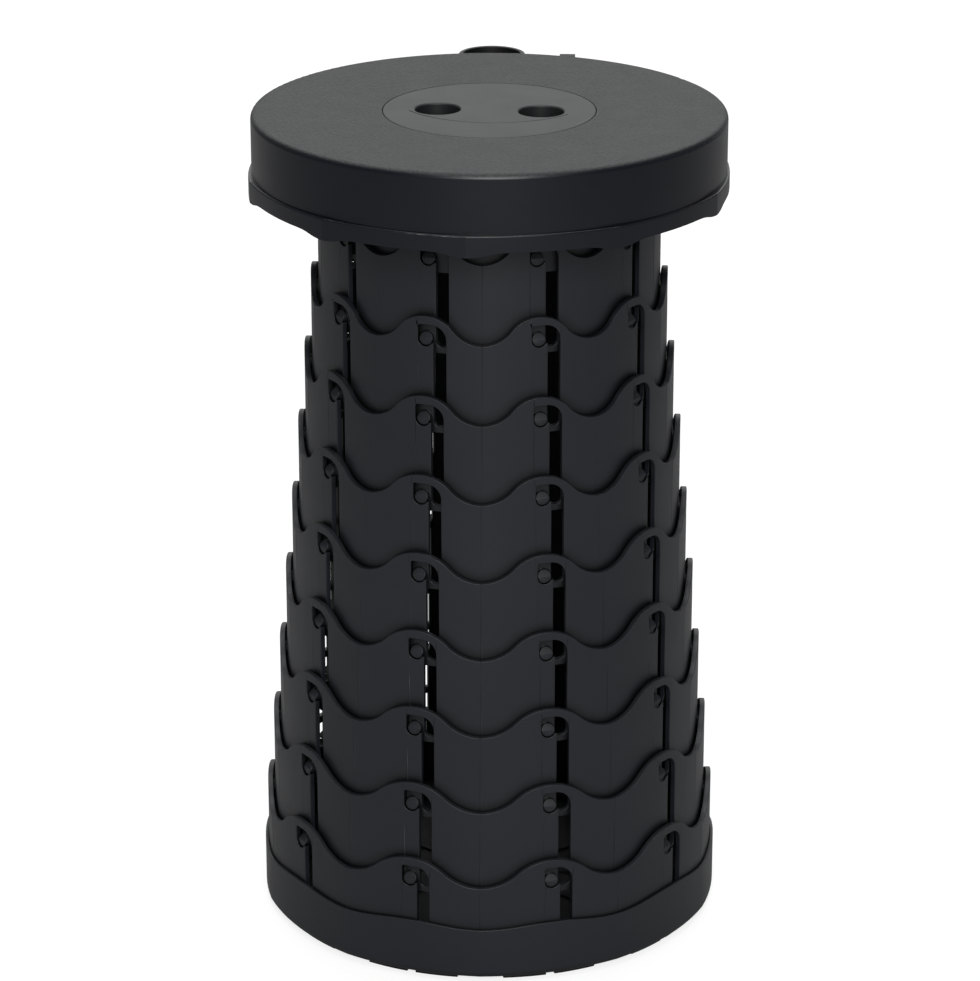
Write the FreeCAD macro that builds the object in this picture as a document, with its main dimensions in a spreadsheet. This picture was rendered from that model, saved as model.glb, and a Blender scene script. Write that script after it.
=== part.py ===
import FreeCAD, Part
import math
import os

import Sketcher

# Collapsible telescopic stool.
# A stack of ten ten-sided plastic rings stands in a base tray and carries a round seat.
# Every ring hangs on the next one out by ten pegs, one per face, that rest in J-shaped slots.
# Frame: +Z up, origin on the floor at the middle of the base, a corner of the rings towards -Y.
# The rest pose is the stool drawn out and locked. All sizes are in millimetres and degrees.

# Driving dimensions: name, value, meaning
SIZES = (
    ("sides", 10, "faces of every ring"),
    ("inner_apothem", 87.1, "axis to the middle of the inner ring's faces"),
    ("ring_step", 4.07, "growth of the apothem from one ring to the next"),
    ("wall", 2.9, "wall of a ring"),
    ("corner_rise", 0.85, "how much further out a ring's corners lie than its faces"),
    ("crease_width", 1.2, "shallow groove down a ring's corners"),
    ("crease_depth", 0.25, "shallow groove down a ring's corners"),
    ("pitch", 42.0, "height between the peg rows of the drawn-out stool"),
    ("peg_drop", 12.5, "crest of a ring's edge down to the pegs that rest in it"),
    ("peg_lift", 8.3, "lower edge of a ring up to its own pegs"),
    ("wave_height", 14.6, "crest to trough of a ring's upper edge"),
    ("peg_radius", 3.6, "peg"),
    ("peg_out", 3.1, "peg beyond the ring's face"),
    ("peg_root", 1.0, "what the lead-in ramp leaves of the peg at its top"),
    ("peg_play", 0.3, "running clearance round a peg"),
    ("pocket_round", 4.05, "round floor of the pocket under the peg"),
    ("pocket_top", 7.85, "peg centre to the top of the slot"),
    ("sill_height", 2.0, "sill between pocket and slot"),
    ("sill_width", 0.6, "sill between pocket and slot"),
    ("slot_width", 6.8, "long vertical slot"),
    ("slot_bridge", 3.4, "plastic left under the long slot"),
    ("hook_radius", 8.0, "large radius at the top of the slot"),
    ("pocket_radius", 1.2, "small radius at the top of the pocket"),
    ("pad_height", 2.8, "foot pad"),
    ("pad_recess", 0.8, "depth of a foot pad in the tray"),
    ("pad_length", 23.4, "foot pad along its face"),
    ("pad_width", 8.0, "foot pad across"),
    ("pad_gap", 4.6, "between the two pads of a face"),
    ("pad_inset", 0.2, "foot pad behind the tray's lower edge"),
    ("floor", 3.0, "floor of the tray"),
    ("rest_height", 1.1, "ribs and bosses on the tray's floor that carry the base ring"),
    ("tray_height", 33.3, "top of the tray's rim above the ground"),
    ("tray_wave", 2.6, "how much lower the rim is at its corners"),
    ("tray_wall", 1.8, "rim of the tray"),
    ("tray_play", 0.15, "between the tray's rim and the base ring"),
    ("tray_round", 4.0, "rounding of the tray's lower edge"),
    ("tray_rib", 2.4, "ribs of the tray's floor"),
    ("hub_radius", 26.0, "round rib in the middle of the tray's floor"),
    ("flange_width", 18.0, "inward flange at the foot of the base ring"),
    ("flange", 2.0, "thickness of that flange"),
    ("base_screw_inset", 11.0, "base ring's inner face to its screws"),
    ("seat_height", 447.95, "top of the seat above the ground"),
    ("seat_radius", 125.7, "round upper part of the seat"),
    ("seat_side", 31.15, "height of the seat's round side"),
    ("seat_wall", 1.5, "side of the seat"),
    ("seat_plate", 3.0, "top of the seat"),
    ("seat_round", 3.0, "rounding of the seat's edge"),
    ("seat_twist", -3.0, "turn of the seat's trim against the rings"),
    ("skirt_apothem", 127.0, "axis to the middle of the skirt's ten faces"),
    ("skirt_rise", 1.4, "how much further out the skirt's corners lie"),
    ("skirt_wall", 1.7, "wall of the skirt"),
    ("skirt_height", 11.5, "height of the skirt at its corners"),
    ("skirt_wave", 2.5, "how much higher its lower edge is between the corners"),
    ("skirt_dip", 19.0, "stretch beside a corner over which that edge falls"),
    ("skirt_round", 0.9, "rounding of the skirt's upper edge"),
    ("skirt_ledge", 1.8, "ledge of the skirt under the seat's side"),
    ("skirt_mouth", 124.35, "round opening of that ledge"),
    ("insert_radius", 56.0, "insert in the middle of the seat"),
    ("insert_groove", 0.5, "open line round the insert"),
    ("insert_plate", 2.5, "thickness of the insert"),
    ("ledge_width", 6.5, "ledge that carries the insert"),
    ("ledge", 3.0, "thickness of that ledge"),
    ("finger_radius", 12.0, "finger holes"),
    ("finger_spacing", 54.7, "between the finger holes"),
    ("finger_wall", 1.8, "collar under a finger hole"),
    ("finger_depth", 9.0, "length of a collar below the insert"),
    ("finger_round", 1.2, "rounded edge of a finger hole"),
    ("line_radius", 52.0, "curved line on the insert"),
    ("line_back", 25.6, "centre of the curved line behind the insert's own"),
    ("line_half", 42.0, "half the width of the curved line"),
    ("line_width", 0.5, "curved line"),
    ("line_depth", 0.4, "curved line"),
    ("boss_radius", 4.5, "screw bosses"),
    ("boss_inset", 7.5, "inner ring's inner face to the seat's screws"),
    ("boss_height", 8.0, "bosses and ribs under the seat"),
    ("seat_rib", 2.0, "ribs under the seat"),
    ("seat_flange", 3.0, "inward flange of the inner ring"),
    ("seat_screw_count", 5, "screws that hold the inner ring"),
    ("insert_screw_count", 3, "screws that hold the insert"),
    ("screw_radius", 1.6, "shank of a screw"),
    ("screw_head", 3.3, "radius of a screw's head"),
    ("screw_head_height", 2.0, "head of a screw"),
    ("screw_play", 0.15, "clearance round a screw"),
    ("small_head", 2.4, "head radius of the insert's screws"),
    ("small_shank", 1.2, "shank radius of the insert's screws"),
    ("handle_turn", 1.7, "handle's place, turned from the back of the rings"),
    ("handle_band", 2.4, "thickness of the handle's band"),
    ("handle_height", 18.0, "height of the handle's band"),
    ("handle_drop", 2.6, "seat's top down to the handle's upper edge"),
    ("handle_reach", 25.0, "handle beyond the seat"),
    ("handle_half", 18.5, "half the width of the handle's loop"),
    ("handle_foot", 12.0, "length of a handle's foot"),
    ("handle_play", 0.1, "between the handle's feet and the seat"),
    ("lug_width", 8.5, "small lug beside the handle"),
    ("lug_out", 2.7, "lug beyond the seat's side"),
    ("lug_height", 6.0, "lug down from the seat's top"),
    ("lug_offset", 38.5, "lug's middle from the middle of the back"),
)

HALF = "(180 deg / Sizes.sides)"
RING_HEIGHT = "(Sizes.pitch + Sizes.peg_drop + Sizes.peg_lift)"
TRAY_BOTTOM = "(Sizes.pad_height - Sizes.pad_recess)"
RING_SEAT = f"({TRAY_BOTTOM} + Sizes.floor + Sizes.rest_height)"
POCKET_FLOOR = f"({RING_HEIGHT} - Sizes.peg_drop - Sizes.peg_radius - Sizes.peg_play)"
RINGS = 9
MARGIN = 1.0

doc = FreeCAD.newDocument("TelescopicStool")
sheet = doc.addObject("Spreadsheet::Sheet", "Sizes")
for row, (name, number, meaning) in enumerate(SIZES, start=1):
    sheet.set(f"A{row}", name)
    sheet.set(f"B{row}", str(number))
    sheet.set(f"C{row}", meaning)
    sheet.setAlias(f"B{row}", name)
doc.recompute()

parts = []


def value(expression):
    """The number that an expression of the sheet's cells gives."""
    result = sheet.evalExpression(str(expression))
    return float(getattr(result, "Value", result))


def new_body(name, height="0", turn="0"):
    """A sub-part, with its place along the axis and its turn about it."""
    body = doc.addObject("PartDesign::Body", name)
    body.Label = name
    body.Placement = FreeCAD.Placement(
        FreeCAD.Vector(0, 0, 0), FreeCAD.Rotation(FreeCAD.Vector(0, 0, 1), value(turn))
    )
    body.setExpression("Placement.Base.z", height)
    if turn != "0":
        body.setExpression("Placement.Rotation.Angle", turn)
    parts.append(body)
    return body


def origin_feature(body, role):
    """A plane or an axis of the body's own origin."""
    return [item for item in body.Origin.OriginFeatures if item.Role == role][0]


def new_sketch(body, name, role="XY_Plane", offset="0"):
    """A sketch on an origin plane, moved along that plane's normal."""
    sketch = body.newObject("Sketcher::SketchObject", name)
    sketch.AttachmentSupport = [(origin_feature(body, role), "")]
    sketch.MapMode = "FlatFace"
    if offset != "0":
        sketch.setExpression("AttachmentOffset.Base.z", offset)
    return sketch


def sketch_turn(sketch, angle):
    """Turn a sketch in its own plane."""
    place = sketch.AttachmentOffset
    place.Rotation = FreeCAD.Rotation(FreeCAD.Vector(0, 0, 1), value(angle))
    sketch.AttachmentOffset = place
    sketch.setExpression("AttachmentOffset.Rotation.Angle", angle)


def place_point(sketch, geometry, end, x, y):
    """Tie one end of a curve to two expressions."""
    for kind, expression in (("DistanceX", x), ("DistanceY", y)):
        index = sketch.addConstraint(
            Sketcher.Constraint(kind, geometry, end, value(expression))
        )
        if "Sizes" in str(expression):
            sketch.setExpression(f"Constraints[{index}]", str(expression))


def add_outline(sketch, start, steps):
    """A closed outline of lines and arcs.

    A step is the next point, with a radius for an arc: positive turns left, negative right.
    """
    points = [start] + [step[:2] for step in steps]
    numbers = [FreeCAD.Vector(value(x), value(y), 0) for x, y in points]
    ends = []
    for index, step in enumerate(steps):
        here, there = numbers[index], numbers[index + 1]
        if len(step) == 2:
            curve = sketch.addGeometry(Part.LineSegment(here, there), False)
            ends.append((curve, 1, 2))
            continue
        radius = value(step[2])
        chord = there - here
        depth = math.sqrt(max(radius**2 - (chord.Length / 2) ** 2, 0.0))
        side = FreeCAD.Vector(-chord.y, chord.x, 0).normalize()
        middle = (here + there) * 0.5
        centre = middle + side * math.copysign(depth, radius)
        first, last = (here, there) if radius > 0 else (there, here)
        circle = Part.Circle(centre, FreeCAD.Vector(0, 0, 1), abs(radius))
        begin = math.atan2(first.y - centre.y, first.x - centre.x)
        finish = math.atan2(last.y - centre.y, last.x - centre.x)
        curve = sketch.addGeometry(Part.ArcOfCircle(circle, begin, finish), False)
        ends.append((curve, 1, 2) if radius > 0 else (curve, 2, 1))
        index = sketch.addConstraint(Sketcher.Constraint("Radius", curve, abs(radius)))
        sketch.setExpression(f"Constraints[{index}]", f"abs({step[2]})")
    for index, (curve, begin, finish) in enumerate(ends):
        following = ends[(index + 1) % len(ends)]
        sketch.addConstraint(
            Sketcher.Constraint("Coincident", curve, finish, following[0], following[1])
        )
        place_point(sketch, curve, begin, *points[index])


def add_circle(sketch, x, y, radius):
    """A circle tied to its centre and radius."""
    centre = FreeCAD.Vector(value(x), value(y), 0)
    circle = Part.Circle(centre, FreeCAD.Vector(0, 0, 1), value(radius))
    curve = sketch.addGeometry(circle, False)
    place_point(sketch, curve, 3, x, y)
    index = sketch.addConstraint(Sketcher.Constraint("Radius", curve, value(radius)))
    sketch.setExpression(f"Constraints[{index}]", str(radius))


def add_rectangle(sketch, left, bottom, right, top):
    """A rectangle tied to its four sides."""
    add_outline(
        sketch,
        (left, bottom),
        [(right, bottom), (right, top), (left, top), (left, bottom)],
    )


def pad(body, sketch, name, length, reverse=False, symmetric=False):
    """Material from a sketch."""
    feature = body.newObject("PartDesign::Pad", name)
    feature.Profile = sketch
    feature.setExpression("Length", length)
    feature.Reversed = reverse
    feature.Midplane = symmetric
    sketch.Visibility = False
    return feature


def pocket(body, sketch, name, length=None, reverse=False, symmetric=False):
    """A cut from a sketch, through everything where no length is given."""
    feature = body.newObject("PartDesign::Pocket", name)
    feature.Profile = sketch
    if length is None:
        feature.Type = "ThroughAll"
    else:
        feature.setExpression("Length", length)
    feature.Reversed = reverse
    feature.Midplane = symmetric
    sketch.Visibility = False
    return feature


def around(body, name, count, originals=None):
    """Repeat some features, or the whole body, about the upright axis."""
    doc.recompute()
    pattern = body.newObject("PartDesign::PolarPattern", name)
    if originals is None:
        pattern.TransformMode = "Whole shape"
    else:
        pattern.Originals = originals
    pattern.Axis = (origin_feature(body, "Z_Axis"), [""])
    pattern.Angle = 360
    pattern.setExpression("Occurrences", count)
    body.Tip = pattern
    doc.recompute()
    return pattern


def round_edges(body, name, edges, radius):
    """Round some edges of what the body holds so far."""
    before = body.Tip
    rounding = body.newObject("PartDesign::Fillet", name)
    rounding.Base = (before, edges)
    rounding.setExpression("Radius", radius)
    body.Tip = rounding
    return rounding


def outer_edges(body, height, radius):
    """Names of the level edges at a height whose ends both lie beyond a radius."""
    doc.recompute()
    names = []
    for index, edge in enumerate(body.Shape.Edges, start=1):
        level = max(abs(edge.BoundBox.ZMin - height), abs(edge.BoundBox.ZMax - height)) < 0.01
        if level and all(math.hypot(end.X, end.Y) > radius for end in edge.Vertexes):
            names.append(f"Edge{index}")
    return names


def outer_apothem(number):
    """Axis to the outer faces of ring 0, the innermost, up to ring 9, the base ring."""
    return f"(Sizes.inner_apothem + {number} * Sizes.ring_step)"


def face_corner(apothem, rise):
    """Axis to the outer corners of a ten-sided ring with bowed faces."""
    return f"({apothem} + {rise})"


def face_curve(apothem, rise):
    """Radius of a bowed face, through its middle and both its corners."""
    half = f"({face_corner(apothem, rise)} * sin({HALF}))"
    fall = f"({apothem} - {face_corner(apothem, rise)} * cos({HALF}))"
    return f"(({half} ^ 2 + {fall} ^ 2) / (2 * {fall}))"


def face_reach(apothem, rise, depth, angle):
    """Axis to a face, or to a surface at some depth below it, at an angle from its middle."""
    curve = face_curve(apothem, rise)
    centre = f"({apothem} - {curve})"
    side = f"({centre} * sin({angle}))"
    return f"({centre} * cos({angle}) + sqrt(({curve} - {depth}) ^ 2 - {side} ^ 2))"


def polar(reach, angle):
    """A point at a distance from the axis and an angle from the face's middle."""
    return f"{reach} * sin({angle})", f"-{reach} * cos({angle})"


def face_outline(sketch, apothem, rise, wall, crease=False):
    """The stretch of wall over one bowed face, from corner to corner."""
    outside = face_curve(apothem, rise)
    inside = f"({outside} - {wall})"
    corner = face_corner(apothem, rise)
    inner_corner = face_reach(apothem, rise, wall, HALF)
    steps = [
        (*polar(corner, HALF), outside),
        polar(inner_corner, HALF),
        (*polar(inner_corner, f"-{HALF}"), f"-{inside}"),
    ]
    start = polar(corner, f"-{HALF}")
    if crease:
        edge = f"({HALF} - asin(Sizes.crease_width / 2 / {corner}))"
        reach = face_reach(apothem, rise, "0", edge)
        start = polar(reach, f"-{edge}")
        groove = f"({corner} - Sizes.crease_depth)"
        steps[0] = (*polar(reach, edge), outside)
        steps.insert(1, polar(groove, HALF))
        steps.append(polar(groove, f"-{HALF}"))
    add_outline(sketch, start, [*steps, start])


def cut_wave(body, corner, top, height):
    """Shape an upper edge: crest in the middle of the face, trough at the corners."""
    half = f"({corner} * sin({HALF}))"
    radius = f"(({half} ^ 2 + {height} ^ 2) / (4 * {height}))"
    low = f"({top} - {height})"
    level = f"({top} - {height} / 2)"
    above = f"({top} + 2 * {MARGIN})"
    sketch = new_sketch(body, f"{body.Name}_wave", "XZ_Plane")
    add_outline(
        sketch,
        (f"-{half}", low),
        [
            (f"-{half} / 2", level, radius),
            (f"{half} / 2", level, f"-{radius}"),
            (half, low, radius),
            (f"{half} + {MARGIN}", low),
            (f"{half} + {MARGIN}", above),
            (f"-({half} + {MARGIN})", above),
            (f"-({half} + {MARGIN})", low),
            (f"-{half}", low),
        ],
    )
    pocket(body, sketch, f"{body.Name}_edge", reverse=True)


def cut_hook(body):
    """The J-shaped slot: round pocket on the left, long slot on the right."""
    peg = f"({RING_HEIGHT} - Sizes.peg_drop)"
    top = f"({peg} + Sizes.pocket_top)"
    round_off = "Sizes.pocket_round"
    middle = f"({POCKET_FLOOR} + {round_off})"
    sill = f"sqrt({round_off} ^ 2 - ({round_off} - Sizes.sill_height) ^ 2)"
    slot = "(Sizes.peg_radius + Sizes.peg_play + Sizes.sill_width)"
    right = f"({slot} + Sizes.slot_width)"
    end = "(Sizes.slot_width / 2)"
    end_level = f"(Sizes.slot_bridge + {end})"
    sill_top = f"({POCKET_FLOOR} + Sizes.sill_height)"
    small = "Sizes.pocket_radius"
    sketch = new_sketch(body, f"{body.Name}_hook", "XZ_Plane")
    add_outline(
        sketch,
        (f"-{round_off}", middle),
        [
            ("0", POCKET_FLOOR, round_off),
            (sill, sill_top, round_off),
            (slot, sill_top),
            (slot, end_level),
            (f"{slot} + {end}", "Sizes.slot_bridge", end),
            (right, end_level, end),
            (right, f"{top} - Sizes.hook_radius"),
            (f"{right} - Sizes.hook_radius", top, "Sizes.hook_radius"),
            (f"-({round_off} - {small})", top),
            (f"-{round_off}", f"{top} - {small}", small),
            (f"-{round_off}", middle),
        ],
    )
    pocket(body, sketch, f"{body.Name}_slot", reverse=True)


def cut_channel(body, apothem):
    """A blind groove in the inner face, from the pocket to the lower edge, for the pegs."""
    side = "(Sizes.peg_radius + Sizes.peg_play)"
    start = f"({apothem} - Sizes.wall - {MARGIN})"
    depth = f"(Sizes.peg_out + Sizes.peg_play - Sizes.ring_step + Sizes.wall + {MARGIN})"
    sketch = new_sketch(body, f"{body.Name}_groove", "XZ_Plane", start)
    add_rectangle(sketch, f"-{side}", f"-{MARGIN}", side, f"{RING_HEIGHT} - Sizes.peg_drop")
    pocket(body, sketch, f"{body.Name}_channel", depth, reverse=True)


def add_peg(body, apothem):
    """The peg in the middle of the face, with a ramp on its upper half."""
    skin = "(Sizes.ring_step - Sizes.peg_out - Sizes.peg_play)"
    sketch = new_sketch(
        body, f"{body.Name}_peg_round", "XZ_Plane", f"({apothem} - {skin} / 2)"
    )
    add_circle(sketch, "0", "Sizes.peg_lift", "Sizes.peg_radius")
    pad(body, sketch, f"{body.Name}_peg", f"Sizes.peg_out + {skin} / 2")
    top = "(Sizes.peg_lift + Sizes.peg_radius)"
    tip = f"-({apothem} + Sizes.peg_out)"
    root = f"-({apothem} + Sizes.peg_root)"
    ramp = new_sketch(body, f"{body.Name}_ramp_side", "YZ_Plane")
    add_outline(
        ramp,
        (tip, "Sizes.peg_lift"),
        [
            (root, top),
            (root, f"{top} + {MARGIN}"),
            (f"{tip} - {MARGIN}", f"{top} + {MARGIN}"),
            (f"{tip} - {MARGIN}", "Sizes.peg_lift"),
            (tip, "Sizes.peg_lift"),
        ],
    )
    pocket(body, ramp, f"{body.Name}_ramp", "4 * Sizes.peg_radius", symmetric=True)


def ring_bottom(number):
    """Lower edge of a ring above the ground, in the drawn-out stool."""
    return f"({RING_SEAT} + {RINGS - number} * Sizes.pitch)"


def make_slotted_ring(number, name, pegs):
    """One ring of the stack, built over one face and repeated round the axis."""
    apothem = outer_apothem(number)
    body = new_body(name, ring_bottom(number), HALF)
    sketch = new_sketch(body, f"{name}_face")
    face_outline(sketch, apothem, "Sizes.corner_rise", "Sizes.wall", crease=True)
    pad(body, sketch, f"{name}_wall", f"{RING_HEIGHT} + {MARGIN}")
    corner = face_corner(apothem, "Sizes.corner_rise")
    cut_wave(body, corner, RING_HEIGHT, "Sizes.wave_height")
    cut_hook(body)
    cut_channel(body, apothem)
    if pegs:
        add_peg(body, apothem)
    around(body, f"{name}_faces", "Sizes.sides")
    return body


def make_base_ring():
    """The lowest ring, which stands in the tray and is screwed to it through a flange."""
    name = "base_ring"
    body = make_slotted_ring(RINGS, name, pegs=False)
    inner = f"({outer_apothem(RINGS)} - Sizes.wall)"
    sketch = new_sketch(body, f"{name}_flange_plan")
    add_circle(sketch, "0", "0", f"{inner} + Sizes.wall / 2")
    add_circle(sketch, "0", "0", f"{inner} - Sizes.flange_width")
    pad(body, sketch, f"{name}_flange", "Sizes.flange")
    holes = new_sketch(body, f"{name}_hole_plan", "XY_Plane", "Sizes.flange")
    place = f"-({inner} - Sizes.base_screw_inset)"
    add_circle(holes, "0", place, "Sizes.screw_radius + Sizes.screw_play")
    hole = pocket(body, holes, f"{name}_hole", "Sizes.flange")
    around(body, f"{name}_holes", "Sizes.sides", [hole])
    return body


def make_inner_ring():
    """The innermost ring: pegs below, plain wall up to the seat, flange for the screws."""
    name = "inner_ring"
    apothem = outer_apothem(0)
    body = new_body(name, ring_bottom(0), HALF)
    top = f"(Sizes.seat_height - Sizes.seat_plate - {ring_bottom(0)})"
    sketch = new_sketch(body, f"{name}_face")
    face_outline(sketch, apothem, "Sizes.corner_rise", "Sizes.wall", crease=True)
    pad(body, sketch, f"{name}_wall", top)
    add_peg(body, apothem)
    around(body, f"{name}_faces", "Sizes.sides")
    inner = f"({apothem} - Sizes.wall)"
    flange_top = f"({top} - Sizes.boss_height)"
    plan = new_sketch(body, f"{name}_flange_plan", "XY_Plane", flange_top)
    add_circle(plan, "0", "0", f"{inner} + Sizes.wall / 2")
    add_circle(plan, "0", "0", f"{inner} - 2 * Sizes.boss_inset")
    pad(body, plan, f"{name}_flange", "Sizes.seat_flange", reverse=True)
    holes = new_sketch(body, f"{name}_hole_plan", "XY_Plane", flange_top)
    place = f"-({inner} - Sizes.boss_inset)"
    add_circle(holes, "0", place, "Sizes.screw_radius + Sizes.screw_play")
    hole = pocket(body, holes, f"{name}_hole", "Sizes.seat_flange")
    around(body, f"{name}_holes", "Sizes.seat_screw_count", [hole])
    return body


def tray_apothem():
    """Axis to the outer faces of the tray."""
    return f"({outer_apothem(RINGS)} + Sizes.tray_play + Sizes.tray_wall)"


def make_tray():
    """The base tray: floor, rim, ribs and bosses, with recesses for the foot pads."""
    name = "base_tray"
    body = new_body(name, TRAY_BOTTOM, HALF)
    apothem = tray_apothem()
    rise = "Sizes.corner_rise"
    height = f"(Sizes.tray_height - {TRAY_BOTTOM})"
    rim = new_sketch(body, f"{name}_face")
    face_outline(rim, apothem, rise, "Sizes.tray_wall")
    pad(body, rim, f"{name}_rim", f"{height} + {MARGIN}")
    cut_wave(body, face_corner(apothem, rise), height, "Sizes.tray_wave")
    inset = "(Sizes.tray_wall / 2)"
    reach = face_reach(apothem, rise, inset, HALF)
    floor = new_sketch(body, f"{name}_floor_plan")
    add_outline(
        floor,
        polar(reach, f"-{HALF}"),
        [
            (*polar(reach, HALF), f"({face_curve(apothem, rise)} - {inset})"),
            ("0", "0"),
            polar(reach, f"-{HALF}"),
        ],
    )
    pad(body, floor, f"{name}_floor", "Sizes.floor")
    lower = outer_edges(body, value(TRAY_BOTTOM), value(apothem))
    round_edges(body, f"{name}_round", lower, "Sizes.tray_round")
    screw = f"({outer_apothem(RINGS)} - Sizes.wall - Sizes.base_screw_inset)"
    rib = new_sketch(body, f"{name}_rib_plan", "XY_Plane", "Sizes.floor")
    side = "Sizes.tray_rib / 2"
    add_rectangle(
        rib,
        f"-{side}",
        f"-({apothem} - Sizes.tray_wall / 2)",
        side,
        f"-Sizes.hub_radius",
    )
    pad(body, rib, f"{name}_rib", "Sizes.rest_height")
    boss = new_sketch(body, f"{name}_boss_plan", "XY_Plane", "Sizes.floor")
    add_circle(boss, "0", f"-{screw}", "Sizes.boss_radius")
    pad(body, boss, f"{name}_boss", "Sizes.rest_height")
    recess = new_sketch(body, f"{name}_pad_plan")
    for side in (1, -1):
        pad_outline(recess, side)
    pocket(body, recess, f"{name}_recess", "Sizes.pad_recess", reverse=True)
    around(body, f"{name}_faces", "Sizes.sides")
    hub = new_sketch(body, f"{name}_hub_plan", "XY_Plane", "Sizes.floor")
    add_circle(hub, "0", "0", "Sizes.hub_radius + Sizes.tray_rib / 2")
    add_circle(hub, "0", "0", "Sizes.hub_radius - Sizes.tray_rib / 2")
    pad(body, hub, f"{name}_hub", "Sizes.rest_height")
    holes = new_sketch(body, f"{name}_hole_plan")
    add_circle(holes, "0", f"-{screw}", "Sizes.screw_radius + Sizes.screw_play")
    hole = pocket(body, holes, f"{name}_hole", reverse=True)
    sinks = new_sketch(body, f"{name}_sink_plan")
    add_circle(sinks, "0", f"-{screw}", "Sizes.screw_head + Sizes.screw_play")
    sink = pocket(body, sinks, f"{name}_sink", "Sizes.screw_head_height", reverse=True)
    around(body, f"{name}_holes", "Sizes.sides", [hole, sink])
    return body


def pad_outline(sketch, side):
    """The plan of one foot pad, to the right of its face's middle or, at -1, to the left."""
    outside = f"({tray_apothem()} - Sizes.tray_round - Sizes.pad_inset)"
    inside = f"({outside} - Sizes.pad_width)"
    near = f"({side} * asin(Sizes.pad_gap / 2 / {outside}))"
    far = f"({side} * asin((Sizes.pad_gap / 2 + Sizes.pad_length) / {outside}))"
    left, right = (near, far) if side > 0 else (far, near)
    add_outline(
        sketch,
        polar(outside, left),
        [
            (*polar(outside, right), outside),
            polar(inside, right),
            (*polar(inside, left), f"-{inside}"),
            polar(outside, left),
        ],
    )


def make_foot_pads():
    """Twenty rubber pads, two under each face."""
    name = "foot_pads"
    source = new_body(f"{name}_source", "0", HALF)
    parts.remove(source)
    plan = new_sketch(source, f"{name}_plan")
    pad_outline(plan, 1)
    pad(source, plan, f"{name}_pad", "Sizes.pad_height")
    doc.recompute()
    single = source.Shape.copy()
    mirrored = single.mirror(FreeCAD.Vector(0, 0, 0), side_normal())
    return repeat_group(name, [single, mirrored], value("Sizes.sides"))


def side_normal():
    """Normal of the upright plane through the middle of the first face."""
    turn = math.radians(value(HALF))
    return FreeCAD.Vector(math.cos(turn), math.sin(turn), 0)


def repeat_group(name, shapes, count, start=0.0):
    """Copies of loose solids round the axis, kept as one node of separate solids."""
    group = doc.addObject("Part::Feature", name)
    group.Label = name
    copies = []
    for index in range(round(count)):
        angle = start + 360.0 * index / count
        for shape in shapes:
            copy = shape.copy()
            copy.rotate(FreeCAD.Vector(0, 0, 0), FreeCAD.Vector(0, 0, 1), angle)
            copies += [solid for solid in copy.Solids]
    group.Shape = Part.makeCompound(copies)
    parts.append(group)
    return group


def screw_shape(place, head_bottom, tip, shank, head):
    """A screw that points up, with a rounded head at its lower end."""
    height = value("Sizes.screw_head_height")
    body = Part.makeCylinder(shank, tip - head_bottom, place + FreeCAD.Vector(0, 0, head_bottom))
    cap = Part.makeCylinder(head, height, place + FreeCAD.Vector(0, 0, head_bottom))
    lower = [edge for edge in cap.Edges if edge.BoundBox.ZMax < head_bottom + 0.01]
    cap = cap.makeChamfer(height * 0.35, lower)
    drive = Part.makeCylinder(head * 0.35, height * 0.5, place + FreeCAD.Vector(0, 0, head_bottom))
    return cap.fuse(body).cut(drive)


def on_face(radius):
    """A point at a radius in the middle of the first face."""
    turn = math.radians(value(HALF))
    return FreeCAD.Vector(radius * math.sin(turn), -radius * math.cos(turn), 0)


def make_base_screws():
    """Ten screws from below, through the tray into the base ring's flange."""
    radius = value(f"{outer_apothem(RINGS)} - Sizes.wall - Sizes.base_screw_inset")
    low = value(TRAY_BOTTOM)
    high = value(f"{RING_SEAT} + Sizes.flange")
    screw = screw_shape(
        on_face(radius), low, high, value("Sizes.screw_radius"), value("Sizes.screw_head")
    )
    return repeat_group("base_screws", [screw], value("Sizes.sides"))


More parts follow.
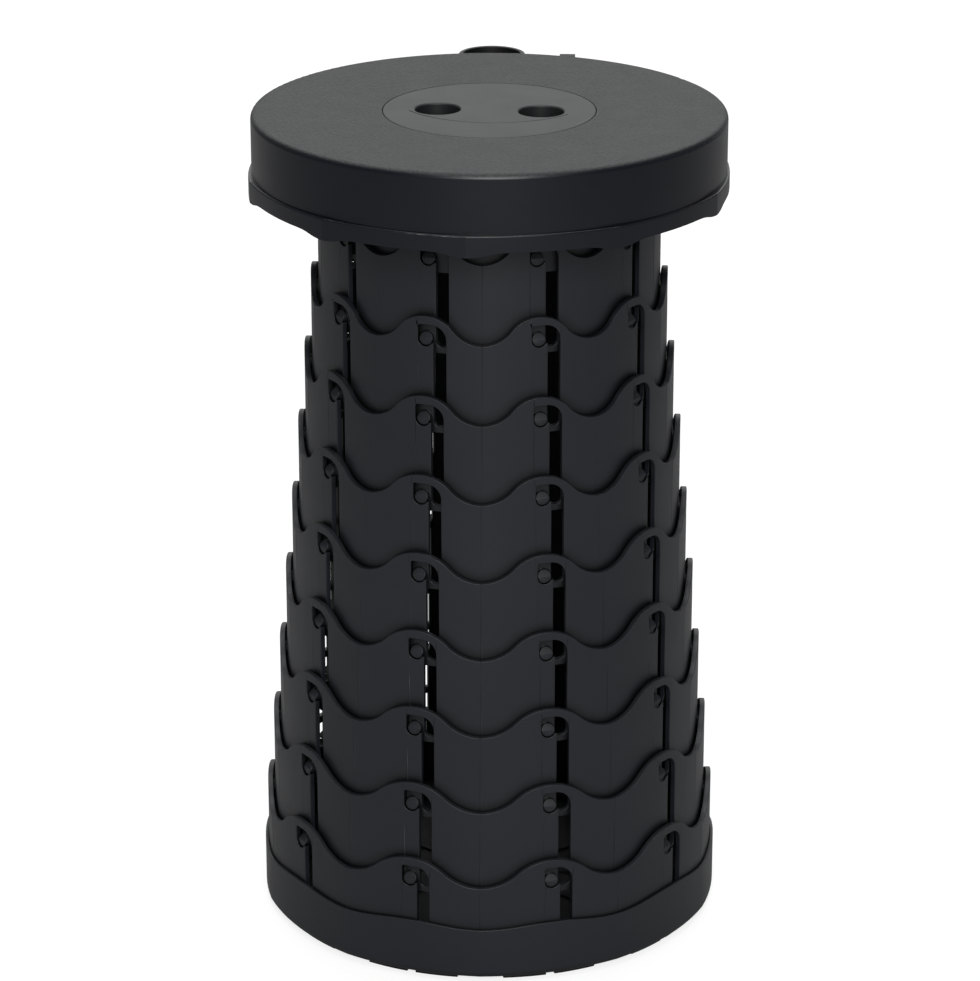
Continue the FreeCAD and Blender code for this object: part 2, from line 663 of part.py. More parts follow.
def make_seat_shell():
    """The round top of the seat, turned as one profile, with bosses and ribs below."""
    name = "seat_shell"
    body = new_body(name, "Sizes.seat_height", HALF)
    hole = "(Sizes.insert_radius - Sizes.ledge_width)"
    rebate = "(Sizes.insert_radius + Sizes.insert_groove)"
    low = "-(Sizes.insert_plate + Sizes.ledge)"
    inner = "(Sizes.seat_radius - Sizes.seat_wall)"
    turn = "(Sizes.seat_round - Sizes.seat_wall / 2)"
    sketch = new_sketch(body, f"{name}_profile", "XZ_Plane")
    add_outline(
        sketch,
        (hole, low),
        [
            (f"{rebate} + Sizes.ledge", low),
            (f"{rebate} + Sizes.ledge", "-Sizes.seat_plate"),
            (f"{inner} - {turn}", "-Sizes.seat_plate"),
            (inner, f"-(Sizes.seat_plate + {turn})", f"-{turn}"),
            (inner, "-Sizes.seat_side"),
            ("Sizes.seat_radius", "-Sizes.seat_side"),
            ("Sizes.seat_radius", "-Sizes.seat_round"),
            ("Sizes.seat_radius - Sizes.seat_round", "0", "Sizes.seat_round"),
            (rebate, "0"),
            (rebate, "-Sizes.insert_plate"),
            (hole, "-Sizes.insert_plate"),
            (hole, low),
        ],
    )
    turned = body.newObject("PartDesign::Revolution", f"{name}_turned")
    turned.Profile = sketch
    turned.ReferenceAxis = (sketch, ["V_Axis"])
    turned.Angle = 360
    sketch.Visibility = False
    place = f"({outer_apothem(0)} - Sizes.wall - Sizes.boss_inset)"
    plan = new_sketch(body, f"{name}_boss_plan", "XY_Plane", "-Sizes.seat_plate")
    add_circle(plan, "0", f"-{place}", "Sizes.boss_radius")
    boss = pad(body, plan, f"{name}_boss", "Sizes.boss_height", reverse=True)
    around(body, f"{name}_bosses", "Sizes.seat_screw_count", [boss])
    ribs = new_sketch(body, f"{name}_rib_plan", "XY_Plane", "-Sizes.seat_plate")
    add_rectangle(
        ribs,
        "-Sizes.seat_rib / 2",
        f"{rebate}",
        "Sizes.seat_rib / 2",
        f"{outer_apothem(0)} - Sizes.wall - {MARGIN}",
    )
    rib = pad(body, ribs, f"{name}_rib", "Sizes.boss_height - 1", reverse=True)
    around(body, f"{name}_ribs", "Sizes.seat_screw_count", [rib])
    drill = new_sketch(body, f"{name}_drill_plan", "XY_Plane", "-(Sizes.seat_plate + 1)")
    add_circle(drill, "0", f"-{place}", "Sizes.screw_radius + Sizes.screw_play")
    bore = pocket(body, drill, f"{name}_bore", "Sizes.boss_height")
    around(body, f"{name}_bores", "Sizes.seat_screw_count", [bore])
    pins = new_sketch(body, f"{name}_pin_plan", "XY_Plane", "-Sizes.insert_plate")
    spot = "(Sizes.insert_radius - Sizes.ledge_width / 2)"
    add_circle(pins, "0", f"-{spot}", "Sizes.small_shank + Sizes.screw_play")
    pin = pocket(body, pins, f"{name}_pin", "Sizes.ledge")
    around(body, f"{name}_pins", "Sizes.insert_screw_count", [pin])
    lug = new_sketch(body, f"{name}_lug_plan")
    across = "Sizes.lug_offset"
    root = f"sqrt(({inner}) ^ 2 - ({across} + Sizes.lug_width / 2) ^ 2)"
    back = f"sqrt(Sizes.seat_radius ^ 2 - {across} ^ 2)"
    add_rectangle(
        lug,
        f"{across} - Sizes.lug_width / 2",
        root,
        f"{across} + Sizes.lug_width / 2",
        f"{back} + Sizes.lug_out",
    )
    sketch_turn(lug, f"-{HALF}")
    pad(body, lug, f"{name}_lug", "Sizes.lug_height", reverse=True)
    for side in (-1, 1):
        drill_seat_side(body, side)
    return body


def make_skirt():
    """The ten-sided skirt under the round side, with the ledge that carries it."""
    name = "seat_skirt"
    low = "(Sizes.seat_height - Sizes.seat_side - Sizes.skirt_height)"
    body = new_body(name, low, f"({HALF} + Sizes.seat_twist * 1 deg)")
    apothem, rise = "Sizes.skirt_apothem", "Sizes.skirt_rise"
    sketch = new_sketch(body, f"{name}_face")
    face_outline(sketch, apothem, rise, "Sizes.skirt_wall")
    pad(body, sketch, f"{name}_wall", "Sizes.skirt_height")
    cut_skirt_edge(body, face_corner(apothem, rise))
    ledge = new_sketch(body, f"{name}_ledge_plan", "XY_Plane", "Sizes.skirt_height")
    inset = "(Sizes.skirt_wall / 2)"
    reach = face_reach(apothem, rise, inset, HALF)
    mouth = "Sizes.skirt_mouth"
    add_outline(
        ledge,
        polar(reach, f"-{HALF}"),
        [
            (*polar(reach, HALF), f"({face_curve(apothem, rise)} - {inset})"),
            polar(mouth, HALF),
            (*polar(mouth, f"-{HALF}"), f"-{mouth}"),
            polar(reach, f"-{HALF}"),
        ],
    )
    pad(body, ledge, f"{name}_ledge", "Sizes.skirt_ledge", reverse=True)
    level = value("Sizes.seat_height - Sizes.seat_side")
    upper = outer_edges(body, level, value(apothem))
    round_edges(body, f"{name}_round", upper, "Sizes.skirt_round")
    around(body, f"{name}_faces", "Sizes.sides")
    return body


def cut_skirt_edge(body, corner):
    """Shape the skirt's lower edge, which falls beside each corner."""
    half = f"({corner} * sin({HALF}))"
    dip = "Sizes.skirt_dip"
    height = "Sizes.skirt_wave"
    radius = f"(({dip} ^ 2 + {height} ^ 2) / (4 * {height}))"
    flat = f"({half} - {dip})"
    turn = f"({half} - {dip} / 2)"
    sketch = new_sketch(body, f"{body.Name}_wave", "XZ_Plane")
    add_outline(
        sketch,
        (f"-{half}", "0"),
        [
            (f"-({half} + {MARGIN})", "0"),
            (f"-({half} + {MARGIN})", f"-{MARGIN}"),
            (f"{half} + {MARGIN}", f"-{MARGIN}"),
            (f"{half} + {MARGIN}", "0"),
            (half, "0"),
            (turn, f"{height} / 2", f"-{radius}"),
            (flat, height, radius),
            (f"-{flat}", height),
            (f"-{turn}", f"{height} / 2", radius),
            (f"-{half}", "0", f"-{radius}"),
        ],
    )
    pocket(body, sketch, f"{body.Name}_edge", reverse=True)


def make_insert():
    """The smooth round insert with two finger holes and a curved line."""
    name = "centre_insert"
    low = "(Sizes.seat_height - Sizes.insert_plate)"
    body = new_body(name, low, "Sizes.seat_twist * 1 deg")
    plan = new_sketch(body, f"{name}_plan")
    add_circle(plan, "0", "0", "Sizes.insert_radius")
    pad(body, plan, f"{name}_disc", "Sizes.insert_plate")
    collars = new_sketch(body, f"{name}_collar_plan")
    holes = new_sketch(body, f"{name}_hole_plan", "XY_Plane", "Sizes.insert_plate")
    for sign in ("", "-"):
        place = f"{sign}Sizes.finger_spacing / 2"
        add_circle(collars, place, "0", "Sizes.finger_radius + Sizes.finger_wall")
        add_circle(holes, place, "0", "Sizes.finger_radius")
    pad(body, collars, f"{name}_collars", "Sizes.finger_depth", reverse=True)
    pocket(body, holes, f"{name}_holes")
    line = new_sketch(body, f"{name}_line_plan", "XY_Plane", "Sizes.insert_plate")
    inner = "(Sizes.line_radius - Sizes.line_width / 2)"
    outer = "(Sizes.line_radius + Sizes.line_width / 2)"
    turn = "asin(Sizes.line_half / Sizes.line_radius)"
    add_outline(
        line,
        (f"-{inner} * sin({turn})", f"Sizes.line_back - {inner} * cos({turn})"),
        [
            (f"-{outer} * sin({turn})", f"Sizes.line_back - {outer} * cos({turn})"),
            (f"{outer} * sin({turn})", f"Sizes.line_back - {outer} * cos({turn})", outer),
            (f"{inner} * sin({turn})", f"Sizes.line_back - {inner} * cos({turn})"),
            (
                f"-{inner} * sin({turn})",
                f"Sizes.line_back - {inner} * cos({turn})",
                f"-{inner}",
            ),
        ],
    )
    pocket(body, line, f"{name}_line", "Sizes.line_depth")
    doc.recompute()
    rims = []
    for index, edge in enumerate(body.Shape.Edges, start=1):
        circle = edge.Curve.TypeId == "Part::GeomCircle"
        top = abs(edge.BoundBox.ZMin - value("Sizes.seat_height")) < 0.01
        if circle and top and abs(edge.Curve.Radius - value("Sizes.finger_radius")) < 0.01:
            rims.append(f"Edge{index}")
    round_edges(body, f"{name}_round", rims, "Sizes.finger_round")
    return body


def make_seat_screws():
    """Screws through the inner ring's flange into the seat's bosses."""
    radius = value(f"{outer_apothem(0)} - Sizes.wall - Sizes.boss_inset")
    flange = "Sizes.seat_height - Sizes.seat_plate - Sizes.boss_height - Sizes.seat_flange"
    low = value(f"{flange} - Sizes.screw_head_height")
    high = value("Sizes.seat_height - Sizes.seat_plate - 2")
    screw = screw_shape(
        on_face(radius), low, high, value("Sizes.screw_radius"), value("Sizes.screw_head")
    )
    return repeat_group("seat_screws", [screw], value("Sizes.seat_screw_count"))


def make_insert_screws():
    """Small screws through the seat's ledge into the insert."""
    radius = value("Sizes.insert_radius - Sizes.ledge_width / 2")
    ledge = "Sizes.seat_height - Sizes.insert_plate - Sizes.ledge"
    low = value(f"{ledge} - Sizes.screw_head_height")
    high = value("Sizes.seat_height - Sizes.insert_plate")
    screw = screw_shape(
        on_face(radius), low, high, value("Sizes.small_shank"), value("Sizes.small_head")
    )
    return repeat_group("insert_screws", [screw], value("Sizes.insert_screw_count"))


def back_point(angle, radius, height):
    """A point by its angle from the middle of the handle and its distance from the axis."""
    turn = math.radians(angle)
    return FreeCAD.Vector(radius * math.sin(turn), radius * math.cos(turn), height)


def turn_to_handle(shape):
    """Turn a shape made towards +Y to the handle's place."""
    shape.rotate(FreeCAD.Vector(0, 0, 0), FreeCAD.Vector(0, 0, 1), value("Sizes.handle_turn"))
    return shape


def handle_angles():
    """Where a foot of the handle starts, and where it ends, from the handle's middle."""
    radius = value("Sizes.seat_radius + Sizes.handle_play + Sizes.handle_band")
    near = math.degrees(math.asin(value("Sizes.handle_half + Sizes.handle_band") / radius))
    return near, near + math.degrees(value("Sizes.handle_foot") / radius)


def make_handle():
    """A flexible loop behind the seat, with two feet on its side."""
    band = value("Sizes.handle_band")
    radius = value("Sizes.seat_radius + Sizes.handle_play") + band / 2
    half = value("Sizes.handle_half") - band / 2
    reach = value("Sizes.seat_radius + Sizes.handle_reach") - band / 2
    low = value("Sizes.seat_height - Sizes.handle_drop - Sizes.handle_height")
    near, far = handle_angles()
    middle = (near + far) / 2
    bend = reach - half
    path = Part.Wire(
        [
            Part.Arc(
                back_point(-far, radius, low),
                back_point(-middle, radius, low),
                back_point(-near, radius, low),
            ).toShape(),
            Part.makeLine(back_point(-near, radius, low), FreeCAD.Vector(-half, bend, low)),
            Part.Arc(
                FreeCAD.Vector(-half, bend, low),
                FreeCAD.Vector(0, reach, low),
                FreeCAD.Vector(half, bend, low),
            ).toShape(),
            Part.makeLine(FreeCAD.Vector(half, bend, low), back_point(near, radius, low)),
            Part.Arc(
                back_point(near, radius, low),
                back_point(middle, radius, low),
                back_point(far, radius, low),
            ).toShape(),
        ]
    )
    outline = path.makeOffset2D(band / 2, join=0, fill=True, openResult=False)
    loop = outline.extrude(FreeCAD.Vector(0, 0, value("Sizes.handle_height")))
    for side in (-1, 1):
        loop = loop.cut(handle_drill(side, "Sizes.screw_radius + Sizes.screw_play"))
    node = doc.addObject("Part::Feature", "carry_handle")
    node.Label = "carry_handle"
    node.Shape = turn_to_handle(loop)
    parts.append(node)
    return node


def handle_screw_angle(side):
    """A handle screw's place, from the middle of the handle."""
    near, far = handle_angles()
    return side * (near + far) / 2


def handle_screw_height():
    """Axis of the handle's screws above the ground."""
    return value("Sizes.seat_height - Sizes.handle_drop - Sizes.handle_height / 2")


def handle_drill(side, radius):
    """A level cylinder through one foot of the handle."""
    angle = handle_screw_angle(side)
    start = back_point(angle, value("Sizes.seat_radius - Sizes.seat_wall"), handle_screw_height())
    length = value("2 * (Sizes.seat_wall + Sizes.handle_band)")
    return Part.makeCylinder(value(radius), length, start, back_point(angle, 1, 0))


def drill_seat_side(body, side):
    """A screw hole through the seat's round side, for one foot of the handle."""
    angle = handle_screw_angle(side) - value("Sizes.handle_turn") + value(HALF)
    height = handle_screw_height() - value("Sizes.seat_height")
    start = back_point(angle, value("Sizes.seat_radius - 2 * Sizes.seat_wall"), height)
    along = back_point(angle, 1, 0)
    drill = body.newObject("PartDesign::SubtractiveCylinder", f"seat_shell_drill_{side + 2}")
    drill.setExpression("Radius", "Sizes.screw_radius + Sizes.screw_play")
    drill.setExpression("Height", "4 * Sizes.seat_wall")
    drill.Placement = FreeCAD.Placement(
        start, FreeCAD.Rotation(FreeCAD.Vector(0, 0, 1), along)
    )


def make_handle_screws():
    """Two screws through the handle's feet into the seat's side."""
    outside = "Sizes.seat_radius + Sizes.handle_play + Sizes.handle_band"
    tip = value("Sizes.seat_radius - Sizes.seat_wall")
    head_start = value(f"{outside} + Sizes.screw_head_height")
    upright = screw_shape(
        FreeCAD.Vector(0, 0, 0),
        0.0,
        head_start - tip,
        value("Sizes.screw_radius"),
        value("Sizes.screw_head"),
    )
    screws = []
    for side in (-1, 1):
        angle = handle_screw_angle(side)
        screw = upright.copy()
        screw.Placement = FreeCAD.Placement(
            back_point(angle, head_start, handle_screw_height()),
            FreeCAD.Rotation(FreeCAD.Vector(0, 0, 1), back_point(angle, -1, 0)),
        )
        screws.append(turn_to_handle(screw))
    node = doc.addObject("Part::Feature", "handle_screws")
    node.Label = "handle_screws"
    node.Shape = Part.makeCompound(screws)
    parts.append(node)
    return node


def write_part(part):
    """Check one sub-part and write it."""
    shape = part.Shape
    if shape.isNull() or not shape.isValid():
        raise RuntimeError(f"{part.Label} is not a valid solid")
    shape.exportStep(f"parts/{part.Label}.step")


def build():
    make_tray()
    make_base_ring()
    for number in range(RINGS - 1, 0, -1):
        make_slotted_ring(number, f"ring_{number}", pegs=True)
    make_inner_ring()
    make_foot_pads()
    make_base_screws()
    make_skirt()
    make_insert()
    make_seat_screws()
    make_insert_screws()
    make_seat_shell()
    make_handle()
    make_handle_screws()
    doc.recompute()


build()
for item in doc.Objects:
    if {"Invalid", "Error"} & set(item.State):
        raise RuntimeError(f"{item.Name} failed: {item.State}")
os.makedirs("parts", exist_ok=True)
for part in parts:
    write_part(part)
    print(part.Label, len(part.Shape.Solids), round(part.Shape.Volume / 1000, 1), "cm3")
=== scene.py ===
import math

import bpy
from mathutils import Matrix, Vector


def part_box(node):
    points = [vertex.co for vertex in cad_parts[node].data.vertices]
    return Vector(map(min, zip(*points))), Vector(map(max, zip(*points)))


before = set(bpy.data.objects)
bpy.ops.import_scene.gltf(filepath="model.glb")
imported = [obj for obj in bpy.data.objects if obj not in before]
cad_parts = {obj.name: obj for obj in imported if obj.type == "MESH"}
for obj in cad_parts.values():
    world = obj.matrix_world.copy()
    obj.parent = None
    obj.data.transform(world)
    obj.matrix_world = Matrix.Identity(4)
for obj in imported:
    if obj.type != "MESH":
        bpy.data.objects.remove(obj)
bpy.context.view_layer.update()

# Looks of the collapsible telescopic stool, in metres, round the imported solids.

SCENE = bpy.context.scene

# Camera, found by fitting the peg rows and the seat's outline in the photograph. Only the turn
# was then set from where light shows through the slots.
PHOTO_HEIGHT_PX = 981
SENSOR_MM = 36.0
FOCAL_PX = 3873.8
CAMERA_DISTANCE = 1.9794
CAMERA_HEIGHT = 0.9708
CAMERA_PITCH = math.radians(20.41)
CAMERA_TURN = math.radians(2.3)
AXIS_PX_LEFT = 0.65

# Surfaces, lengths in metres
PLASTIC_IOR = 1.49
# Painted shade in gaps and corners: how far it reaches and how hard it darkens
SHADE_REACH = 0.006
SHADE_POWER = 2.0
GLOSS_SPREAD = 0.05
FLOW_HEIGHT = 0.0006
GRAIN_HEIGHT = 0.00008
SEAT_GRAIN_HEIGHT = 0.0009
SEAT_RIPPLE_HEIGHT = 0.0004
SEAT_EDGE_TOP = 0.0004
SEAT_EDGE_BOTTOM = 0.0016
SEAT_SIDE_ROUGHNESS = 0.34
SEAT_TOP_ROUGHNESS = 0.6
SEAT_GLOSS_SPREAD = 0.04
PAD_GRAIN_HEIGHT = 0.0001

# Rounded edges that moulding leaves, in metres
WELD_REACH = 0.000005
SHARP_ANGLE = math.radians(40)
RING_EDGE = 0.0003
INSERT_EDGE = 0.00015
HANDLE_EDGE = 0.0004
PAD_EDGE = 0.0005
SCREW_EDGE = 0.0001

# Studio, lengths in metres and lamps in watts
ROOM_LIGHT = 0.12
BACKDROP_LIGHT = 1.0
FLOOR_REACH = 6.0
FLOOR_GREY = 0.3
FLOOR_ROUGHNESS = 0.9
FLOOR_GLOW_SEEN = 0.8
FLOOR_GLOW_MIRRORED = 0.07


def link(obj):
    SCENE.collection.objects.link(obj)
    return obj


def srgb(*values):
    """Linear colour from 8-bit screen values."""
    linear = []
    for value in values:
        share = value / 255.0
        if share <= 0.04045:
            linear.append(share / 12.92)
        else:
            linear.append(((share + 0.055) / 1.055) ** 2.4)
    return (*linear, 1.0)


def add_camera():
    data = bpy.data.cameras.new("camera")
    data.sensor_width = SENSOR_MM
    data.lens = FOCAL_PX / PHOTO_HEIGHT_PX * SENSOR_MM
    data.clip_end = 50.0
    camera = link(bpy.data.objects.new("camera", data))
    camera.location = (
        CAMERA_DISTANCE * math.sin(CAMERA_TURN),
        -CAMERA_DISTANCE * math.cos(CAMERA_TURN),
        CAMERA_HEIGHT,
    )
    side_step = AXIS_PX_LEFT / FOCAL_PX
    camera.rotation_euler = (math.pi / 2 - CAMERA_PITCH, 0.0, CAMERA_TURN - side_step)
    SCENE.camera = camera


# Materials


class Shader:
    """A principled material with helpers for its nodes."""

    def __init__(self, name):
        self.material = bpy.data.materials.new(name)
        self.material.use_nodes = True
        self.tree = self.material.node_tree
        self.shader = self.tree.nodes["Principled BSDF"]
        coordinates = self.node("ShaderNodeTexCoord")
        self.place = coordinates.outputs["Object"]

    def node(self, kind, **settings):
        node = self.tree.nodes.new(kind)
        for key, setting in settings.items():
            setattr(node, key, setting)
        return node

    def join(self, source, target):
        self.tree.links.new(source, target)

    def feed(self, socket, source):
        """Drive one socket of the principled shader."""
        self.join(source, self.shader.inputs[socket])

    def set(self, **sockets):
        for key, setting in sockets.items():
            self.shader.inputs[key.replace("_", " ")].default_value = setting

    def noise(self, scale, detail=2.0, roughness=0.5, stretch=None):
        noise = self.node("ShaderNodeTexNoise")
        noise.inputs["Scale"].default_value = scale
        noise.inputs["Detail"].default_value = detail
        noise.inputs["Roughness"].default_value = roughness
        source = self.place
        if stretch is not None:
            mapping = self.node("ShaderNodeMapping")
            mapping.inputs["Scale"].default_value = stretch
            self.join(source, mapping.inputs["Vector"])
            source = mapping.outputs["Vector"]
        self.join(source, noise.inputs["Vector"])
        return noise.outputs["Fac"]

    def ramp(self, factor, stops):
        ramp = self.node("ShaderNodeValToRGB")
        elements = ramp.color_ramp.elements
        while len(elements) < len(stops):
            elements.new(0.5)
        for element, (position, colour) in zip(elements, stops):
            element.position = position
            element.color = colour
        self.join(factor, ramp.inputs["Fac"])
        return ramp.outputs["Color"]

    def between(self, factor, low, high):
        spread = self.node("ShaderNodeMapRange")
        spread.inputs["To Min"].default_value = low
        spread.inputs["To Max"].default_value = high
        self.join(factor, spread.inputs["Value"])
        return spread.outputs["Result"]

    def mix(self, factor, low, high):
        """One colour where the factor is 0, the other where it is 1."""
        mix = self.node("ShaderNodeMix", data_type="RGBA")
        self.join(factor, mix.inputs["Factor"])
        self.join(low, mix.inputs["A"])
        self.join(high, mix.inputs["B"])
        return mix.outputs["Result"]

    def painted_shade(self, colour):
        """The colour darkened in gaps and corners by ambient occlusion: painted shade."""
        hollow = self.node("ShaderNodeAmbientOcclusion", samples=8)
        hollow.inputs["Distance"].default_value = SHADE_REACH
        open_air = self.node("ShaderNodeMath", operation="POWER")
        open_air.inputs[1].default_value = SHADE_POWER
        self.join(hollow.outputs["AO"], open_air.inputs[0])
        shade = self.node("ShaderNodeVectorMath", operation="SCALE")
        self.join(colour, shade.inputs[0])
        self.join(open_air.outputs["Value"], shade.inputs["Scale"])
        return shade.outputs["Vector"]

    def combine(self, operation, first, second):
        result = self.node("ShaderNodeMath", operation=operation)
        self.join(first, result.inputs[0])
        self.join(second, result.inputs[1])
        return result.outputs["Value"]

    def times(self, first, second):
        return self.combine("MULTIPLY", first, second)

    def sum(self, first, second):
        return self.combine("ADD", first, second)

    def above(self, low, high):
        """Rises from 0 to 1 between two heights above the ground."""
        axes = self.node("ShaderNodeSeparateXYZ")
        self.join(self.place, axes.inputs["Vector"])
        rise = self.node("ShaderNodeMapRange")
        rise.inputs["From Min"].default_value = low
        rise.inputs["From Max"].default_value = high
        self.join(axes.outputs["Z"], rise.inputs["Value"])
        return rise.outputs["Result"]

    def bump(self, height, strength, distance, normal=None):
        bump = self.node("ShaderNodeBump")
        bump.inputs["Strength"].default_value = strength
        bump.inputs["Distance"].default_value = distance
        self.join(height, bump.inputs["Height"])
        if normal is not None:
            self.join(normal, bump.inputs["Normal"])
        return bump.outputs["Normal"]


def moulded_plastic(name, dark, light, roughness, grain_scale, grain_depth, mottle=9.0):
    """Moulded plastic: a fine grain, soft colour mottling, uneven gloss and painted shade in
    gaps and corners.
    """
    shader = Shader(name)
    cloud = shader.noise(mottle, detail=3.0)
    colour = shader.ramp(cloud, [(0.3, dark), (0.7, light)])
    # painted shade: the base colour darkens in gaps and corners
    shader.feed("Base Color", shader.painted_shade(colour))
    gloss = shader.noise(mottle * 5, detail=4.0)
    uneven = shader.between(gloss, roughness - GLOSS_SPREAD, roughness + GLOSS_SPREAD)
    shader.feed("Roughness", uneven)
    flow = shader.noise(45.0, detail=2.0, stretch=(1.0, 1.0, 0.12))
    soft = shader.bump(flow, 0.2, FLOW_HEIGHT)
    grain = shader.noise(grain_scale, detail=3.0, roughness=0.6)
    shader.feed("Normal", shader.bump(grain, grain_depth, GRAIN_HEIGHT, soft))
    shader.set(IOR=PLASTIC_IOR)
    return shader.material


def seat_plastic(name, top):
    """One moulding with a grain-textured top and a smooth, darker, glossier side. The top's
    lighter base colour is partly its grain and partly painted sheen for the light it catches
    from above.
    """
    shader = Shader(name)
    flat = shader.above(top - SEAT_EDGE_BOTTOM, top - SEAT_EDGE_TOP)
    cloud = shader.noise(22.0, detail=3.0)
    speckle = shader.noise(760.0, detail=2.0, roughness=0.7)
    # painted sheen: the top gets a lighter base colour than the side, partly for its grain and
    # partly for the light it catches from above
    side = shader.ramp(cloud, [(0.3, srgb(12, 14, 24)), (0.7, srgb(16, 18, 28))])
    grained_with_painted_sheen = shader.ramp(speckle, [(0.34, srgb(22, 24, 25)), (0.66, srgb(48, 50, 51))])
    shader.feed("Base Color", shader.mix(flat, side, grained_with_painted_sheen))
    gloss = shader.noise(60.0, detail=4.0)
    uneven = shader.between(gloss, -SEAT_GLOSS_SPREAD, SEAT_GLOSS_SPREAD)
    level = shader.between(flat, SEAT_SIDE_ROUGHNESS, SEAT_TOP_ROUGHNESS)
    shader.feed("Roughness", shader.sum(uneven, level))
    ripple = shader.bump(shader.noise(16.0, detail=1.0), 0.06, SEAT_RIPPLE_HEIGHT)
    grain = shader.bump(shader.times(speckle, flat), 0.8, SEAT_GRAIN_HEIGHT, ripple)
    shader.feed("Normal", grain)
    shader.set(IOR=PLASTIC_IOR)
    return shader.material


def rubber(name):
    shader = Shader(name)
    speckle = shader.noise(900.0, detail=2.0)
    colour = shader.ramp(speckle, [(0.35, srgb(24, 24, 26)), (0.75, srgb(38, 38, 40))])
    shader.feed("Base Color", colour)
    shader.feed("Normal", shader.bump(speckle, 0.4, PAD_GRAIN_HEIGHT))
    shader.set(Roughness=0.8)
    return shader.material


def steel(name):
    shader = Shader(name)
    brushed = shader.noise(600.0, detail=3.0, stretch=(1.0, 1.0, 8.0))
    colour = shader.ramp(brushed, [(0.3, srgb(150, 150, 148)), (0.7, srgb(196, 196, 192))])
    shader.feed("Base Color", colour)
    shader.feed("Roughness", shader.between(brushed, 0.28, 0.42))
    shader.set(Metallic=1.0)
    return shader.material


def give(node, material):
    """Put one material on a CAD node."""
    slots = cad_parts[node].data.materials
    slots.clear()
    slots.append(material)


def soften(node, width):
    """Small rounded edges on a CAD node. The seat and its skirt go without: it spikes there."""
    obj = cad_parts[node]
    weld = obj.modifiers.new("weld", "WELD")
    weld.merge_threshold = WELD_REACH
    bevel = obj.modifiers.new("edges", "BEVEL")
    bevel.width = width
    bevel.segments = 2
    bevel.limit_method = "ANGLE"
    bevel.angle_limit = SHARP_ANGLE
    bevel.use_clamp_overlap = False
    bevel.miter_outer = "MITER_ARC"
    normals = obj.modifiers.new("normals", "WEIGHTED_NORMAL")
    normals.mode = "FACE_AREA_WITH_ANGLE"
    normals.weight = 80
    for polygon in obj.data.polygons:
        polygon.use_smooth = True


RING_NODES = ["base_ring"] + [f"ring_{number}" for number in range(8, 0, -1)] + ["inner_ring"]


def dress_cad():
    ring = moulded_plastic(
        "ring_plastic", srgb(32, 34, 40), srgb(37, 39, 45), 0.44, 1500.0, 0.25
    )
    skirt = moulded_plastic(
        "skirt_plastic", srgb(13, 15, 25), srgb(18, 20, 30), 0.36, 1500.0, 0.15
    )
    insert = moulded_plastic(
        "insert_plastic", srgb(30, 32, 33), srgb(34, 36, 37), 0.5, 2200.0, 0.12
    )
    handle = moulded_plastic(
        "handle_plastic", srgb(10, 10, 12), srgb(14, 14, 16), 0.5, 1800.0, 0.2
    )
    for node in RING_NODES:
        give(node, ring)
        soften(node, RING_EDGE)
    give("base_tray", ring)
    soften("base_tray", RING_EDGE)
    seat_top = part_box("seat_shell")[1][2]
    give("seat_shell", seat_plastic("seat_plastic", seat_top))
    give("seat_skirt", skirt)
    give("centre_insert", insert)
    soften("centre_insert", INSERT_EDGE)
    give("carry_handle", handle)
    soften("carry_handle", HANDLE_EDGE)
    give("foot_pads", rubber("pad_rubber"))
    soften("foot_pads", PAD_EDGE)
    zinc = steel("screw_steel")
    for node in ("base_screws", "seat_screws", "insert_screws", "handle_screws"):
        give(node, zinc)
        soften(node, SCREW_EDGE)


# Studio


def add_world():
    """Even light from all round, and a white backdrop for camera rays alone."""
    world = bpy.data.worlds.new("world")
    SCENE.world = world
    world.use_nodes = True
    tree = world.node_tree
    background = tree.nodes["Background"]
    background.inputs["Color"].default_value = (1.0, 1.0, 1.0, 1.0)
    background.inputs["Strength"].default_value = ROOM_LIGHT
    white = tree.nodes.new("ShaderNodeBackground")
    white.inputs["Color"].default_value = (1.0, 1.0, 1.0, 1.0)
    white.inputs["Strength"].default_value = BACKDROP_LIGHT
    path = tree.nodes.new("ShaderNodeLightPath")
    mix = tree.nodes.new("ShaderNodeMixShader")
    output = tree.nodes["World Output"]
    tree.links.new(path.outputs["Is Camera Ray"], mix.inputs["Fac"])
    tree.links.new(background.outputs["Background"], mix.inputs[1])
    tree.links.new(white.outputs["Background"], mix.inputs[2])
    tree.links.new(mix.outputs["Shader"], output.inputs["Surface"])


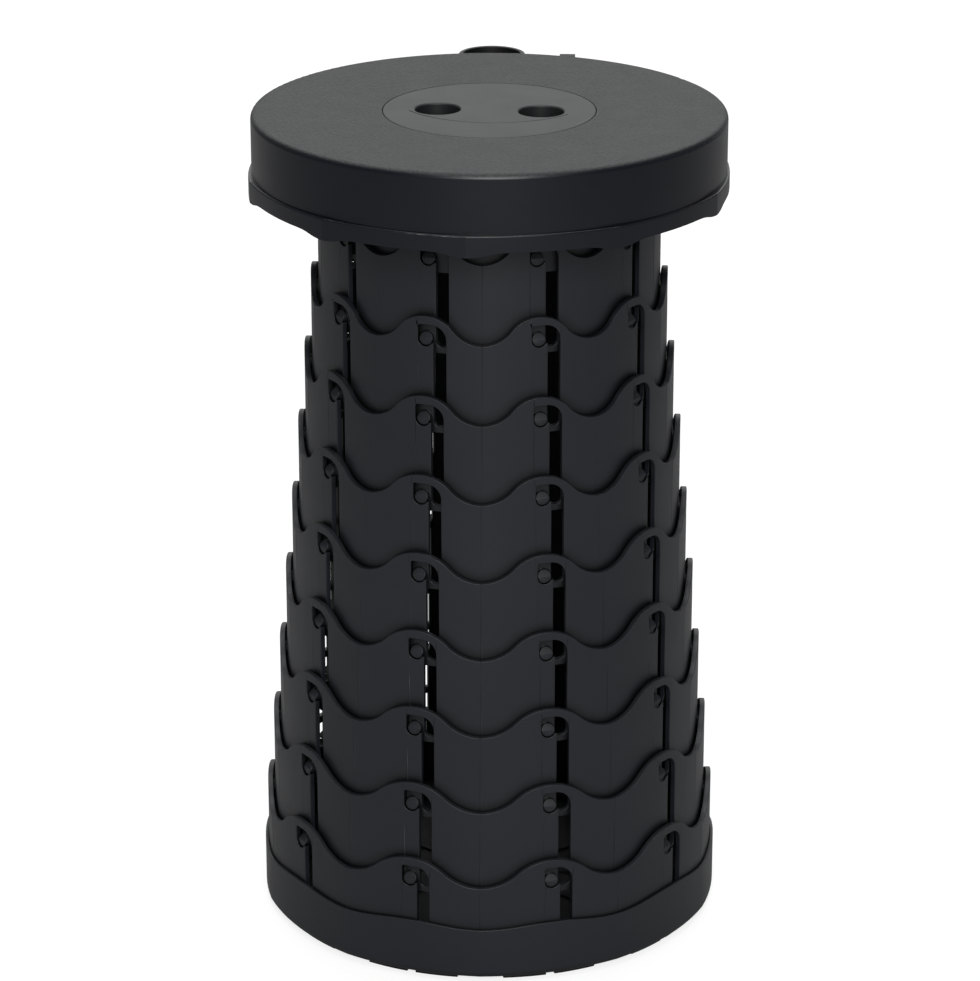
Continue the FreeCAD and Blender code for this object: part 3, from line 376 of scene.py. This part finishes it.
def add_floor():
    """A grey floor that the camera sees near white, and that glossy surfaces see far dimmer."""
    mesh = bpy.data.meshes.new("floor")
    reach = FLOOR_REACH
    corners = [(-reach, -reach, 0), (reach, -reach, 0), (reach, reach, 0), (-reach, reach, 0)]
    mesh.from_pydata(corners, [], [(0, 1, 2, 3)])
    floor = link(bpy.data.objects.new("floor", mesh))
    material = bpy.data.materials.new("floor")
    material.use_nodes = True
    tree = material.node_tree
    shader = tree.nodes["Principled BSDF"]
    shader.inputs["Base Color"].default_value = (FLOOR_GREY, FLOOR_GREY, FLOOR_GREY, 1.0)
    shader.inputs["Roughness"].default_value = FLOOR_ROUGHNESS
    glow = tree.nodes.new("ShaderNodeEmission")
    path = tree.nodes.new("ShaderNodeLightPath")
    seen = tree.nodes.new("ShaderNodeMath")
    seen.operation = "MULTIPLY"
    seen.inputs[1].default_value = FLOOR_GLOW_SEEN
    tree.links.new(path.outputs["Is Camera Ray"], seen.inputs[0])
    amount = tree.nodes.new("ShaderNodeMath")
    amount.operation = "MULTIPLY_ADD"
    amount.inputs[1].default_value = FLOOR_GLOW_MIRRORED
    tree.links.new(path.outputs["Is Glossy Ray"], amount.inputs[0])
    tree.links.new(seen.outputs["Value"], amount.inputs[2])
    tree.links.new(amount.outputs["Value"], glow.inputs["Strength"])
    both = tree.nodes.new("ShaderNodeAddShader")
    tree.links.new(shader.outputs["BSDF"], both.inputs[0])
    tree.links.new(glow.outputs["Emission"], both.inputs[1])
    tree.links.new(both.outputs["Shader"], tree.nodes["Material Output"].inputs["Surface"])
    mesh.materials.append(material)


def add_area(name, place, aim, size, power):
    data = bpy.data.lights.new(name, "AREA")
    data.shape = "RECTANGLE"
    data.size, data.size_y = size
    data.energy = power
    lamp = link(bpy.data.objects.new(name, data))
    lamp.location = place
    lamp.rotation_euler = (Vector(aim) - Vector(place)).to_track_quat("-Z", "Y").to_euler()


def add_studio():
    add_world()
    add_floor()
    add_area("top", (0.0, 0.2, 2.3), (0.0, 0.0, 0.4), (1.6, 1.6), 34.0)
    add_area("back", (0.0, 2.7, 1.4), (0.0, 0.0, 0.3), (4.0, 2.2), 27.0)
    add_area("front", (0.2, -2.7, 1.6), (0.0, 0.0, 0.15), (1.4, 1.4), 47.0)


add_camera()
dress_cad()
add_studio()
SCENE.view_settings.view_transform = "Standard"
